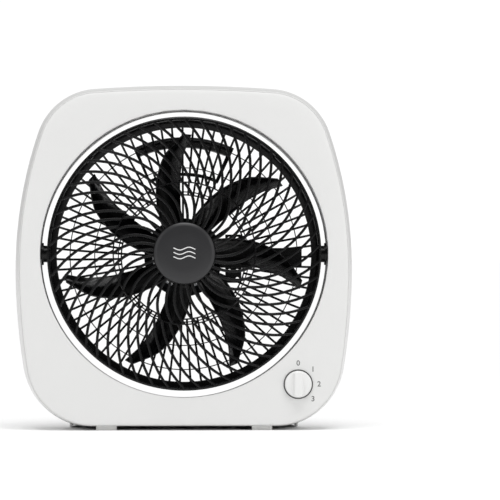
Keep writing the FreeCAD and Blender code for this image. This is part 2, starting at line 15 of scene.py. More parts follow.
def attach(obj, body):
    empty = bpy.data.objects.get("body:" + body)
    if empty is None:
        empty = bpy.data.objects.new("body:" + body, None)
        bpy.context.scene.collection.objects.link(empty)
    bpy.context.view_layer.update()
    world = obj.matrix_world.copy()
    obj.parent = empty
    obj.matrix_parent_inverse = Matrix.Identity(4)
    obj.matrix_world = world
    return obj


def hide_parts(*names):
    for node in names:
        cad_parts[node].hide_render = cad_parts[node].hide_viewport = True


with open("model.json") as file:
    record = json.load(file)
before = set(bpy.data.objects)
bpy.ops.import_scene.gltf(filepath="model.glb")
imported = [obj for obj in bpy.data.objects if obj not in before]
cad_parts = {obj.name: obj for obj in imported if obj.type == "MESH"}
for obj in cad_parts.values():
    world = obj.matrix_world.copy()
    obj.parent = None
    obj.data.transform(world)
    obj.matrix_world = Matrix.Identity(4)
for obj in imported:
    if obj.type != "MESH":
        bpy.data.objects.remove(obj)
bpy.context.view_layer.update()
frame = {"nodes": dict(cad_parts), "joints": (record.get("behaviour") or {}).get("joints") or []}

bl_info = {
    "name": "Box Fan",
    "version": (1, 0, 0),
    "blender": (4, 5, 0),
    "location": "View3D > Sidebar > Box Fan",
    "description": "Makes the finished pieces of a box fan over its packed frame",
    "category": "Add Mesh",
}

JOINTS = {joint["name"]: joint for joint in frame["joints"]}
SPIN = Vector(JOINTS["impeller_spin"]["axis"])
SPIN_DEPTH = 40.0            # depth of the impeller's joint behind the face
FACE_CENTRE = Vector(JOINTS["impeller_spin"]["pos_m"]) - SPIN * SPIN_DEPTH / 1000
LEAN = asin(-SPIN.z)
PLACE = Matrix.Translation(FACE_CENTRE) @ Matrix.Rotation(-LEAN, 4, "X") @ Matrix.Scale(0.001, 4)

# Housing outline about the fan axis: a flat bottom, then tangent arcs (radius, degrees)
BOTTOM = -207.7
BOTTOM_HALF = 109.8
ARCS = ((84.8, 80.8), (735.0, 9.2), (512.0, 18.9), (77.4, 67.0))
ARC_STEPS = (28, 6, 14, 24)
TOP_STEPS = 8
BOTTOM_HOLD = 0.55           # share of an inset that the bottom edge does not follow
BOTTOM_STEPS = 16

WALL = 2.5
GROOVE = 1.3                 # from the face's edge to the fine line round it
PART_MID = 45.0              # depth of the parting line between the shells, on the axis
PART_SLOPE = -0.092          # it comes forward towards the top
OPENING_R = 171.7
OPENING_DRAFT = 1.5          # the opening widens by this towards the parting line

# Head: radii, and depths behind the face
HEAD_R = 163.6
RIM_T = 3.0
RIM_FRONT = -2.0
RIM_JOIN = 6.0
DOME_FRONT = -8.7
RING_R = 84.7                # support ring between the outer and inner ribs
RING_WIDTH = 1.7
RING_DEPTH = 4.2
CAP_R = 36.2
OUTER_RIBS = 54
INNER_RIBS = 36
RIB_DEPTH = 3.6              # front to back
RIB_SINK = 1.9               # middle of a rib behind the grille's surface
# A rib's angle at its middle radius, the slope and curve of it, that radius and half its reach
OUTER_SWIRL = (3.6, 11.3, 0.3, 122.6, 34.5)
INNER_SWIRL = (9.7, 6.9, 2.1, 62.5, 19.6)
# Three waves on the hub cap: half their width, wave length, rise and distance apart
MARK_HALF, MARK_WAVE, MARK_RISE, MARK_GAP = 13.0, 22.0, 1.7, 5.2
DRUM_END = 42.0
LIP_R = 153.0
LIP_DEPTH = 34.0
REAR_RIBS = 75
REAR_RIB_DEPTH = 2.6
REAR_START = 4.2             # angle of the first rib
REAR_PLATE_R = 47.0
REAR_RING_R = 78.5
REAR_RINGS = ((REAR_RING_R - 1.4, 115.0, 2.0), (REAR_RING_R + 2.2, 113.6, 1.5),
              (109.5, 101.2, 1.4), (139.0, 81.3, 1.4))     # radius, depth and thickness
REAR_FLAT_R = 41.0
REAR_FLAT_DEPTH = 135.6
# The rear dome's line from the drum to the end plate, as (radius, depth)
REAR_CURVE = ((160.8, 42.0), (153.6, 60.0), (144.5, 76.0), (129.0, 90.5), (110.0, 102.0),
              (78.0, 115.5), (54.0, 125.0), (41.0, 135.6))

# Impeller
TIP_R = 146.0
HUB_R = 38.0
ROOT_R = 35.5                # a blade starts inside the hub
BLADES = 7
BLADE_T = 1.8
BLADE_BULGE = 3.4            # how far a blade is cupped at its root
BLADE_RADII = (37.0, 60.0, 90.0, 120.0, 146.0)
# Angle and depth of each blade's leading and trailing edge at those radii
LEAD_DEG = (42.0, 42.0, 41.3, 38.8, 34.8)
TRAIL_DEG = (77.0, 69.0, 60.0, 50.3, 38.6)
LEAD_DEPTH = (57.5, 56.0, 53.0, 49.0, 43.0)
TRAIL_DEPTH = (26.0, 26.5, 29.0, 33.0, 39.5)

# Handle
HANDLE_HALF = 25.0
HANDLE_R = 145.0
HANDLE_LOW_R = 99.0
HANDLE_REAR = 107.4
CHEEK = 1.4                  # degrees that an end cheek takes up

# Wire guard: a plate of round holes beside the motor
GUARD_FIRST = (55.2, 70.6, -28.2)   # the first hole, at the lower left
GUARD_PITCH = 9.8
GUARD_HOLE_R = 2.2
GUARD_T = 1.6
GUARD_HOLES = (2, 6)                # columns and rows

# Speed knob and the numbers round it
KNOB_X = 135.6
KNOB_Z = -156.0
KNOB_R = 15.9
KNOB_FRONT = -5.4            # its flat front
GRIP = (4.6, 7.0, 4.5)       # half width at its crest and at its foot, and how far it stands out
GRIP_CORNER = 3.4            # rounding of its upright corners and of its crest
GRIP_EDGE = 1.1
DIAL_R = 24.9                # from the knob's axis to the middle of a number
DIAL_TEXT = 8.8
DIAL_MARKS = (("0", 90), ("1", 45), ("2", 0), ("3", -45))

# Camera, in metres from the middle of the face, aimed so that the fan stands left of centre
CAMERA_LENS = 217.4
CAMERA_X = -0.030
CAMERA_AIM_X = 0.0783
CAMERA_AWAY = 3.60
CAMERA_LIFT = 0.004

# Studio: half the floor in metres, and the world's strength in soft light, in gloss and to the camera
FLOOR_HALF = 60.0
SKY_SOFT = 0.55
SKY_GLOSS = 0.10
BACKDROP = 1.05


# ---- settings ---------------------------------------------------------------------------
def srgb(code):
    """An sRGB hex value as linear colour with full alpha."""
    parts = [int(code[k:k + 2], 16) / 255 for k in (1, 3, 5)]
    linear = [p / 12.92 if p <= 0.04045 else ((p + 0.055) / 1.055) ** 2.4 for p in parts]
    return (*linear, 1.0)


class FanHousingSettings(bpy.types.PropertyGroup):
    """Sizes and colours of the housing and the knob."""

    border: FloatProperty(
        name="Border", description="Width over which the face curves back", default=0.0165,
        min=0.01, unit="LENGTH")
    flare: FloatProperty(
        name="Flare", description="How far the side wall widens towards the parting line",
        default=0.0052, min=0.0, unit="LENGTH")
    shell_colour: FloatVectorProperty(
        name="Shell colour", description="White of the moulded shells", default=srgb("#E3E3E2"),
        size=4, subtype="COLOR")
    knob_colour: FloatVectorProperty(
        name="Knob colour", description="White of the speed knob", default=srgb("#EAEAE9"),
        size=4, subtype="COLOR")
    ink_colour: FloatVectorProperty(
        name="Ink colour", description="Grey of the printed numbers", default=srgb("#6E6E6E"),
        size=4, subtype="COLOR")


class FanHeadSettings(bpy.types.PropertyGroup):
    """Sizes and colours of the tilting head and the impeller."""

    rib_width: FloatProperty(
        name="Rib width", description="Width of a rib of the front grille", default=0.0035,
        min=0.001, unit="LENGTH")
    rear_rib_width: FloatProperty(
        name="Rear rib width", description="Width of a rib of the rear grille", default=0.0029,
        min=0.001, unit="LENGTH")
    rear_ribs: IntProperty(
        name="Rear ribs", description="Number of ribs in the rear grille", default=REAR_RIBS, min=12)
    grille_colour: FloatVectorProperty(
        name="Grille colour", description="Black of the grilles", default=srgb("#050506"),
        size=4, subtype="COLOR")
    cap_colour: FloatVectorProperty(
        name="Cap colour", description="Dark grey of the hub cap", default=srgb("#252527"),
        size=4, subtype="COLOR")


# ---- helpers ----------------------------------------------------------------------------
SOFT_CORNER = 0.75           # power that squares off a round section


def point(radius, angle, depth=0.0):
    """A point at an angle about the fan axis, anticlockwise from the right."""
    return Vector((radius * cos(radians(angle)), depth, radius * sin(radians(angle))))


def ring_edges(verts):
    """Every edge that meets one of the vertices."""
    return list({edge for vert in verts for edge in vert.link_edges})


def outline(inset, depth, slope=0.0):
    """Places round the housing's outline, moved in by inset, at one depth."""
    arcs = [(radius - inset, turn, steps) for (radius, turn), steps in zip(ARCS, ARC_STEPS)]
    reach, heading = BOTTOM_HALF, 0.0
    for radius, turn, steps in arcs:
        reach += radius * (sin(radians(heading + turn)) - sin(radians(heading)))
        heading += turn
    crown = (reach / sin(radians(heading)), 2 * (180.0 - heading), TOP_STEPS)
    here, heading = Vector((BOTTOM_HALF, 0.0, BOTTOM + inset)), 0.0
    places = [here]
    for radius, turn, steps in arcs + [crown] + arcs[::-1]:
        centre = here + Vector((-sin(radians(heading)), 0, cos(radians(heading)))) * radius
        one_step = Matrix.Rotation(-radians(turn / steps), 3, "Y")
        for step in range(steps):
            here = centre + one_step @ (here - centre)
            places.append(here)
        heading += turn
    stride = (places[0] - here) / BOTTOM_STEPS
    places += [here + stride * (step + 1) for step in range(BOTTOM_STEPS - 1)]
    # the wall flares less along the bottom edge than at the sides
    lower = 1.0 + BOTTOM_HOLD * inset / abs(BOTTOM)
    places = [Vector((p.x, p.y, p.z * lower if p.z < 0 else p.z)) for p in places]
    return [Vector((p.x, depth + slope * p.z, p.z)) for p in places]


def opening(radius, depth, slope=0.0):
    """Places round a circle, each opposite its place on the outline."""
    ring = []
    for place in outline(0.0, 0.0):
        scale = radius / hypot(place.x, place.z)
        ring.append(Vector((place.x * scale, depth + slope * place.z * scale, place.z * scale)))
    return ring


def skin(bm, rings):
    """Extrude a ring of edges through each list of places in turn."""
    ring = [bmesh.ops.create_vert(bm, co=place)["vert"][0] for place in rings[0]]
    edges = [bm.edges.new(pair) for pair in zip(ring, ring[1:] + ring[:1])]
    for places in rings[1:]:
        out = bmesh.ops.extrude_edge_only(bm, edges=edges)["geom"]
        fresh = {g for g in out if isinstance(g, bmesh.types.BMVert)}
        edges = [g for g in out if isinstance(g, bmesh.types.BMEdge) and set(g.verts) <= fresh]
        ring = [next(e.other_vert(v) for e in v.link_edges if e.other_vert(v) in fresh) for v in ring]
        for vert, place in zip(ring, places):
            vert.co = place


def turn(bm, profile, closed=True, angle=360.0, start=0.0, steps=96, x=0.0, z=0.0):
    """Turn a profile of (radius, depth) points about the fan axis, or one beside it."""
    spot = [point(radius, start, depth) + Vector((x, 0, z)) for radius, depth in profile]
    verts = [bmesh.ops.create_vert(bm, co=co)["vert"][0] for co in spot]
    edges = [bm.edges.new(pair) for pair in zip(verts, verts[1:])]
    if closed:
        edges.append(bm.edges.new((verts[-1], verts[0])))
    full = abs(angle) >= 360.0
    made = bmesh.ops.spin(
        bm, geom=verts + edges, cent=(x, 0, z), axis=(0, -1, 0), angle=radians(angle), steps=steps,
        use_merge=full, use_duplicate=False)
    if closed and not full:
        last = [g for g in made["geom_last"] if isinstance(g, bmesh.types.BMEdge)]
        bmesh.ops.contextual_create(bm, geom=edges)
        bmesh.ops.contextual_create(bm, geom=last)


def sweep(bm, section, path):
    """Carry a closed section along a path of matrices, and close both ends."""
    made = bmesh.ops.create_circle(bm, cap_ends=False, segments=len(section), radius=1.0)["verts"]
    for vert, (across, up) in zip(made, section):
        vert.co = path[0] @ Vector((across, up, 0))
    ring = ring_edges(made)
    everything = list(made)
    bmesh.ops.contextual_create(bm, geom=ring)
    before = path[0]
    for here in path[1:]:
        out = bmesh.ops.extrude_edge_only(bm, edges=ring)["geom"]
        verts = [g for g in out if isinstance(g, bmesh.types.BMVert)]
        ring = [e for e in out if isinstance(e, bmesh.types.BMEdge)
                and e.verts[0] in verts and e.verts[1] in verts]
        bmesh.ops.transform(bm, matrix=here @ before.inverted(), verts=verts)
        everything += verts
        before = here
    bmesh.ops.contextual_create(bm, geom=ring)
    return everything


def frames_along(points, up_at):
    """A matrix at each point of a path, with its Z along the path and Y towards up."""
    path = []
    for k, here in enumerate(points):
        ahead = points[min(k + 1, len(points) - 1)] - points[max(k - 1, 0)]
        along = ahead.normalized()
        up = up_at(here)
        across = along.cross(up).normalized()
        up = across.cross(along).normalized() * -1
        matrix = Matrix((across, -up, along)).transposed().to_4x4()
        matrix.translation = here
        path.append(matrix)
    return path


def repeat_about_axis(bm, verts, count, step=None):
    """Copies of some vertices and their faces, turned about the fan axis."""
    step = 360.0 / count if step is None else step
    geom = list(verts) + ring_edges(verts) + list({f for v in verts for f in v.link_faces})
    for k in range(1, count):
        copy = bmesh.ops.duplicate(bm, geom=geom)["geom"]
        fresh = [g for g in copy if isinstance(g, bmesh.types.BMVert)]
        spin = Matrix.Rotation(-radians(step * k), 4, "Y")
        bmesh.ops.transform(bm, matrix=spin, verts=fresh)


def smooth_curve(points, steps):
    """Points spaced along a smooth line through the given (radius, depth) pairs."""
    padded = [points[0]] + list(points) + [points[-1]]
    line = []
    for k in range(len(points) - 1):
        a, b, c, d = [Vector(p) for p in padded[k:k + 4]]
        for s in range(steps):
            t = s / steps
            line.append(0.5 * (2 * b + (c - a) * t + (2 * a - 5 * b + 4 * c - d) * t * t
                               + (3 * b - a - 3 * c + d) * t ** 3))
    line.append(Vector(points[-1]))
    return line


def between(table, marks, value):
    """A smooth value read from a table at marks."""
    for k in range(len(marks) - 1):
        if value <= marks[k + 1] or k == len(marks) - 2:
            t = (value - marks[k]) / (marks[k + 1] - marks[k])
            low = table[max(k - 1, 0)]
            high = table[min(k + 2, len(table) - 1)]
            a, b = table[k], table[k + 1]
            bend = (2 * a - low - b) * (1 - t) + (2 * b - a - high) * t
            return b * t + a * (1 - t) + t * (1 - t) * bend / 4


def rounded(width, height, steps=8):
    """A closed section with soft corners, as (across, up) pairs."""
    section = []
    for k in range(steps):
        a = 2 * pi * (k + 0.5) / steps
        c, s = cos(a), sin(a)
        section.append((copysign(abs(c) ** SOFT_CORNER, c) * width / 2,
                        copysign(abs(s) ** SOFT_CORNER, s) * height / 2))
    return section


def torus(bm, radius, depth, width, height, steps=120, sides=8):
    """A ring about the fan axis with a rounded section."""
    section = rounded(width, height, sides)
    turn(bm, [(radius + across, depth + up) for across, up in section], steps=steps)


def finished(name, bm, material, body, nodes=(), sharp=38.0):
    """Make the object, set it on the fan axis, give it its material and body, and hide the imported nodes
    it stands in for.
    """
    bmesh.ops.remove_doubles(bm, verts=bm.verts, dist=0.0005)
    bmesh.ops.recalc_face_normals(bm, faces=bm.faces)
    bmesh.ops.transform(bm, matrix=PLACE, verts=bm.verts)
    for face in bm.faces:
        face.smooth = True
    for edge in bm.edges:
        if len(edge.link_faces) == 2 and edge.calc_face_angle(0.0) > radians(sharp):
            edge.smooth = False
    mesh = bpy.data.meshes.new(name)
    bm.to_mesh(mesh)
    bm.free()
    obj = bpy.data.objects.new(name, mesh)
    bpy.context.scene.collection.objects.link(obj)
    mesh.materials.append(material)
    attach(obj, body)
    if nodes:
        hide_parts(*nodes)
    return obj


def lettering(words, size):
    """Flat text as a mesh in the XY plane, centred on its own middle."""
    curve = bpy.data.curves.new("text", "FONT")
    curve.body = words
    curve.size = size
    curve.align_x = "CENTER"
    curve.align_y = "CENTER"
    curve.extrude = 0.05
    curve.offset = size * 0.016
    curve.resolution_u = 4
    holder = bpy.data.objects.new("text", curve)
    bpy.context.scene.collection.objects.link(holder)
    bpy.context.view_layer.update()
    mesh = bpy.data.meshes.new_from_object(holder)
    bpy.data.objects.remove(holder)
    bpy.data.curves.remove(curve)
    bm = bmesh.new()
    bm.from_mesh(mesh)
    bpy.data.meshes.remove(mesh)
    return bm


# ---- materials --------------------------------------------------------------------------
def add(tree, kind, values=None, links=None, **settings):
    """Add a node with its properties, input values and links."""
    made = tree.nodes.new(kind)
    for name, value in settings.items():
        setattr(made, name, value)
    for socket, value in (values or {}).items():
        made.inputs[socket].default_value = value
    for socket, source in (links or {}).items():
        tree.links.new(source, made.inputs[socket])
    return made


MATERIALS = {}


def material(name):
    """A new node material with its shader and Object coordinates, ready for its pattern."""
    made = bpy.data.materials.new(name)
    made.use_nodes = True
    tree = made.node_tree
    shader = tree.nodes["Principled BSDF"]
    place = add(tree, "ShaderNodeTexCoord").outputs["Object"]
    MATERIALS[name] = made
    return tree, shader, place


def speckle(tree, place, size_mm, detail=2.0):
    """Noise whose grains are about size_mm across."""
    return add(tree, "ShaderNodeTexNoise", {"Scale": 1000.0 / size_mm, "Detail": detail},
               {"Vector": place}).outputs["Fac"]


def spread(tree, source, low, high):
    """Stretch a pattern's middle range to run from low to high."""
    return add(tree, "ShaderNodeMapRange",
               {"From Min": 0.3, "From Max": 0.7, "To Min": low, "To Max": high},
               {"Value": source}).outputs["Result"]


def tint(tree, source, dark, light):
    """Colour that varies from dark to light with a pattern."""
    ramp = add(tree, "ShaderNodeValToRGB", links={"Fac": source})
    ramp.color_ramp.elements[0].position = 0.3
    ramp.color_ramp.elements[1].position = 0.7
    ramp.color_ramp.elements[0].color = dark
    ramp.color_ramp.elements[1].color = light
    return ramp.outputs["Color"]


def relief(tree, height, depth_mm):
    """Bump of a real depth from a pattern."""
    return add(tree, "ShaderNodeBump", {"Distance": depth_mm / 1000, "Strength": 1.0},
               {"Height": height}).outputs["Normal"]


def shade(colour, factor):
    """A colour made darker or lighter."""
    return (colour[0] * factor, colour[1] * factor, colour[2] * factor, 1.0)


def moulded(name, colour, roughness, grain_mm, depth_mm, vary=0.03, ior=1.53, coat=0.0, gloss=0.5):
    """Injection-moulded plastic: a fine eroded grain, slow flow marks and slightly uneven gloss."""
    tree, shader, place = material(name)
    shader.inputs["IOR"].default_value = ior
    shader.inputs["Coat Weight"].default_value = coat
    shader.inputs["Specular IOR Level"].default_value = gloss
    grain = speckle(tree, place, grain_mm)
    flow = speckle(tree, place, 45.0, 3.0)
    tree.links.new(tint(tree, flow, shade(colour, 1 - vary), shade(colour, 1 + vary)),
                   shader.inputs["Base Color"])
    tree.links.new(spread(tree, grain, roughness - 0.05, roughness + 0.06), shader.inputs["Roughness"])
    tree.links.new(relief(tree, grain, depth_mm), shader.inputs["Normal"])


def make_materials(housing, head):
    # White ABS, moulded in a finely eroded tool: an even satin white with soft highlights
    moulded("abs_white_moulded", tuple(housing.shell_colour), 0.40, 0.8, 0.02, 0.006)
    # White ABS of the knob, a little smoother from handling
    moulded("abs_white_knob", tuple(housing.knob_colour), 0.34, 0.7, 0.015, 0.006)
    # Black polypropylene: deep black ribs that catch grey streaks on their crests
    moulded("pp_black_moulded", tuple(head.grille_colour), 0.28, 0.9, 0.02, 0.10, 1.49, gloss=0.3)
    # Black ABS of the blades, polished tool: clear soft window-like highlights
    moulded("abs_black_polished", srgb("#030304"), 0.14, 1.6, 0.004, 0.08, 1.53, 0.25, 0.35)
    # Dark grey ABS of the hub cap, finely textured satin
    moulded("abs_grey_satin", tuple(head.cap_colour), 0.38, 0.6, 0.02, 0.05)
    # Trim ring round the knob: a real ring, but its dark grey is painted shade that stands in for the
    # shadow in the gap between knob and housing
    moulded("trim_painted_gap_shade", srgb("#4A4A4B"), 0.32, 0.7, 0.01, 0.04)
    # Pad-printed ink: flat, matt, a little uneven where it lies thin
    moulded("ink_grey_printed", tuple(housing.ink_colour), 0.55, 0.5, 0.004, 0.06)
    # Light ink on the hub cap
    moulded("ink_light_printed", srgb("#E4E4E4"), 0.5, 0.5, 0.004, 0.05)
    # White thermoplastic rubber of the feet: matt and slightly grainy
    moulded("tpe_white_matt", srgb("#EDEDEB"), 0.75, 0.6, 0.04, 0.02, 1.5)
    # Grey glass-filled nylon of bushings and gland: dull, with visible fibre mottle
    moulded("nylon_grey_filled", srgb("#54555A"), 0.5, 1.2, 0.03, 0.12, 1.53)
    # PVC insulation of the leads: black, softly glossy
    moulded("pvc_black_insulation", srgb("#141416"), 0.36, 2.5, 0.01, 0.08, 1.53)

    # Zinc-plated steel screws: bluish bright metal, turning marks, dulled in patches
    tree, shader, place = material("steel_zinc_plated")
    shader.inputs["Metallic"].default_value = 1.0
    patch = speckle(tree, place, 1.8, 3.0)
    tree.links.new(tint(tree, patch, srgb("#8E9195"), srgb("#B9BCC0")), shader.inputs["Base Color"])
    tree.links.new(spread(tree, patch, 0.26, 0.42), shader.inputs["Roughness"])
    tree.links.new(relief(tree, speckle(tree, place, 0.5), 0.01), shader.inputs["Normal"])

    # Galvanised steel of the motor bells: drawn sheet with a faint spangle
    tree, shader, place = material("steel_galvanised_drawn")
    shader.inputs["Metallic"].default_value = 1.0
    spangle = add(tree, "ShaderNodeTexVoronoi", {"Scale": 1000.0 / 7.0}, {"Vector": place})
    tree.links.new(tint(tree, spangle.outputs["Distance"], srgb("#7E8286"), srgb("#A3A7AB")),
                   shader.inputs["Base Color"])
    tree.links.new(spread(tree, spangle.outputs["Distance"], 0.34, 0.5), shader.inputs["Roughness"])
    tree.links.new(relief(tree, speckle(tree, place, 3.0), 0.02), shader.inputs["Normal"])

    # Electrical steel stack: 0.5 mm sheets drawn as 1 mm so that the edges show
    tree, shader, place = material("steel_lamination_stack")
    shader.inputs["Metallic"].default_value = 1.0
    sheets = add(tree, "ShaderNodeTexWave", {"Scale": 1000.0 / (2 * pi * 1.0), "Distortion": 0.4},
                 {"Vector": place}, bands_direction="Y").outputs["Fac"]
    tree.links.new(tint(tree, sheets, srgb("#3E4146"), srgb("#787C82")), shader.inputs["Base Color"])
    tree.links.new(relief(tree, sheets, 0.12), shader.inputs["Normal"])
    shader.inputs["Roughness"].default_value = 0.5

    # Enamelled copper wire: 0.6 mm strands drawn as 1.2 mm, warm and glossy
    tree, shader, place = material("copper_enamelled_wire")
    shader.inputs["Metallic"].default_value = 1.0
    wires = add(tree, "ShaderNodeTexWave", {"Scale": 1000.0 / (2 * pi * 1.2), "Distortion": 1.5},
                {"Vector": place}, wave_type="RINGS", rings_direction="Y").outputs["Fac"]
    tree.links.new(tint(tree, wires, srgb("#6B2F17"), srgb("#C4703A")), shader.inputs["Base Color"])
    tree.links.new(relief(tree, wires, 0.2), shader.inputs["Normal"])
    shader.inputs["Roughness"].default_value = 0.3

    # Stamped brass tabs: yellow metal with rolling lines
    tree, shader, place = material("brass_stamped")
    shader.inputs["Metallic"].default_value = 1.0
    rolled = speckle(tree, place, 1.2, 4.0)
    tree.links.new(tint(tree, rolled, srgb("#A88A45"), srgb("#D2B36A")), shader.inputs["Base Color"])
    tree.links.new(spread(tree, rolled, 0.24, 0.4), shader.inputs["Roughness"])


NODE_FINISH = {
    "rear_housing": "abs_white_moulded", "foot_plate": "abs_white_moulded",
    "housing_screws": "steel_zinc_plated", "front_feet": "tpe_white_matt",
    "rear_feet": "tpe_white_matt", "cord_gland": "nylon_grey_filled",
    "switch_shaft": "nylon_grey_filled", "switch_body": "nylon_grey_filled",
    "switch_nut": "steel_zinc_plated", "switch_terminals": "brass_stamped",
    "housing_leads": "pvc_black_insulation", "right_trunnion": "pp_black_moulded",
    "left_trunnion": "pp_black_moulded", "right_bushing": "nylon_grey_filled",
    "left_bushing": "nylon_grey_filled", "friction_washers": "pp_black_moulded",
    "pivot_keepers": "steel_zinc_plated", "cable_arm_cover": "pp_black_moulded",
    "wire_guard": "pp_black_moulded", "grille_clips": "pp_black_moulded",
    "motor_leads": "pvc_black_insulation", "impeller_nut": "pp_black_moulded",
    "motor_shaft": "steel_zinc_plated", "rotor": "steel_lamination_stack",
    "thrust_washers": "nylon_grey_filled", "stator_core": "steel_lamination_stack",
    "stator_windings": "copper_enamelled_wire", "motor_front_bell": "steel_galvanised_drawn",
    "motor_rear_bell": "steel_galvanised_drawn", "motor_bushings": "brass_stamped",
    "motor_screws": "steel_zinc_plated",
}


# ---- operators --------------------------------------------------------------------------
class FAN_OT_materials(bpy.types.Operator):
    """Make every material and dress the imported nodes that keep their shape"""

    bl_idname = "fan.materials"
    bl_label = "Materials"

    def execute(self, context):
        make_materials(context.scene.fan_housing, context.scene.fan_head)
        for name, finish in NODE_FINISH.items():
            mesh = frame["nodes"][name].data
            mesh.materials.clear()
            mesh.materials.append(MATERIALS[finish])
        return {"FINISHED"}


class FAN_OT_front_shell(bpy.types.Operator):
    """Front shell: a flat face that rolls back to a flared side wall, with the round opening"""

    bl_idname = "fan.front_shell"
    bl_label = "Front shell"

    def execute(self, context):
        settings = context.scene.fan_housing
        border = settings.border * 1000
        flare = settings.flare * 1000
        bm = bmesh.new()
        outer = [outline(0.0, PART_MID, PART_SLOPE)]
        outer.append(outline(flare * 0.94, 11.0))
        # a tight roll that ends in a fine moulded line, then a face that is all but flat
        for inset, back in ((0.0, 6.6), (0.12, 5.0), (0.4, 3.8), (0.85, 2.9), (GROOVE, 2.4),
                            (GROOVE + 0.1, 2.9), (GROOVE + 0.7, 2.9), (GROOVE + 0.85, 1.9),
                            (GROOVE + 1.6, 1.5), (border * 0.3, 1.0), (border * 0.5, 0.65),
                            (border * 0.8, 0.25), (border, 0.05), (border * 1.15, 0.0)):
            outer.append(outline(flare + inset, back))
        edge = [opening(OPENING_R + reach, back) for reach, back in
                ((5.0, 0.0), (1.4, 0.0), (0.5, 0.2), (0.1, 0.6), (0.0, 1.4))]
        tube = [opening(OPENING_R + OPENING_DRAFT * 0.3, 14.0),
                opening(OPENING_R + OPENING_DRAFT, PART_MID, slope=PART_SLOPE)]
        back = [opening(OPENING_R + WALL, PART_MID, slope=PART_SLOPE),
                opening(OPENING_R + WALL, WALL)]
        inner = [outline(flare + border, WALL), outline(flare + WALL, 11.0),
                 outline(WALL, PART_MID, PART_SLOPE)]
        skin(bm, outer + edge + tube + back + inner + outer[:1])
        finished("front_shell", bm, MATERIALS["abs_white_moulded"], "housing", ["front_housing"],
                 sharp=24.0)
        return {"FINISHED"}


class FAN_OT_knob(bpy.types.Operator):
    """Speed knob with its raised grip, the trim ring whose dark grey is painted gap shadow, and the printed
    numbers
    """

    bl_idname = "fan.knob"
    bl_label = "Speed knob"

    def execute(self, context):
        bm = bmesh.new()
        front = KNOB_FRONT
        turn(bm, [(0.0, 0.0), (KNOB_R, 0.0), (KNOB_R, front + 1.4), (KNOB_R - 0.5, front + 0.5),
                  (KNOB_R - 1.5, front), (0.0, front - 0.2)], closed=False, steps=72, x=KNOB_X, z=KNOB_Z)
        # the grip is a bar with sloping flanks that ends on the knob's rim
        crest, foot, proud = GRIP
        made = bmesh.ops.create_cube(bm, size=1.0)["verts"]
        bmesh.ops.scale(bm, vec=(2 * foot, proud + 0.6, 2 * KNOB_R - 2.4), verts=made)
        bmesh.ops.translate(bm, vec=(KNOB_X, front - (proud + 0.6) / 2 + 0.6, KNOB_Z), verts=made)
        top = [v for v in made if v.co.y < front - 1.0]
        about_knob = Matrix.Translation((-KNOB_X, 0, 0))
        bmesh.ops.scale(bm, vec=(crest / foot, 1.0, 1.0), space=about_knob, verts=top)
        upright = [e for e in ring_edges(made) if abs(e.verts[0].co.y - e.verts[1].co.y) > 1.0]
        bmesh.ops.bevel(bm, geom=upright, offset=GRIP_CORNER, segments=6, profile=0.5, affect="EDGES",
                        material=-1)
        ridge = [e for e in bm.edges if all(v.co.y < front - proud + 0.1 for v in e.verts)
                 and len(e.link_faces) == 2 and e.calc_face_angle(0.0) > 0.6]
        bmesh.ops.bevel(bm, geom=ridge, offset=GRIP_EDGE, segments=4, profile=0.5, affect="EDGES",
                        material=-1)
        finished("knob", bm, MATERIALS["abs_white_knob"], "knob_group", ["speed_knob"],
                 sharp=42.0)
        bm = bmesh.new()
        # the trim ring round the knob, its dark grey a painted shadow of the gap round the knob
        turn(bm, [(KNOB_R + 0.4, -0.8), (KNOB_R + 0.6, -1.2), (KNOB_R + 1.3, -1.2), (KNOB_R + 1.65, -0.8),
                  (KNOB_R + 1.65, 0.3), (KNOB_R + 0.4, 0.3)], steps=72, x=KNOB_X, z=KNOB_Z)
        finished("knob_trim", bm, MATERIALS["trim_painted_gap_shade"], "housing", ["knob_trim_ring"])
        numbers = bmesh.new()
        for words, angle in DIAL_MARKS:
            one = lettering(words, DIAL_TEXT)
            spot = point(DIAL_R, angle, -0.02) + Vector((KNOB_X, 0, KNOB_Z))
            bmesh.ops.transform(one, matrix=Matrix.Translation(spot) @ Matrix.Rotation(pi / 2, 4, "X"),
                                verts=one.verts)
            mesh = bpy.data.meshes.new("number")
            one.to_mesh(mesh)
            one.free()
            numbers.from_mesh(mesh)
            bpy.data.meshes.remove(mesh)
        finished("dial_numbers", numbers, MATERIALS["ink_grey_printed"], "housing")
        return {"FINISHED"}


def dome_depth(radius):
    """Depth of the front grille's surface at a radius."""
    return DOME_FRONT + (RIM_FRONT - DOME_FRONT) * (radius / (HEAD_R - RIM_T)) ** 2


def rib_path(swirl, radii):
    """Matrices along a rib whose angle bends with its radius."""
    start, slope, curve, middle, half = swirl
    points = []
    for radius in radii:
        u = (radius - middle) / half
        points.append(point(radius, start + slope * u + curve * u * u, dome_depth(radius) + RIB_SINK))
    return frames_along(points, lambda here: Vector((0, -1, 0)))


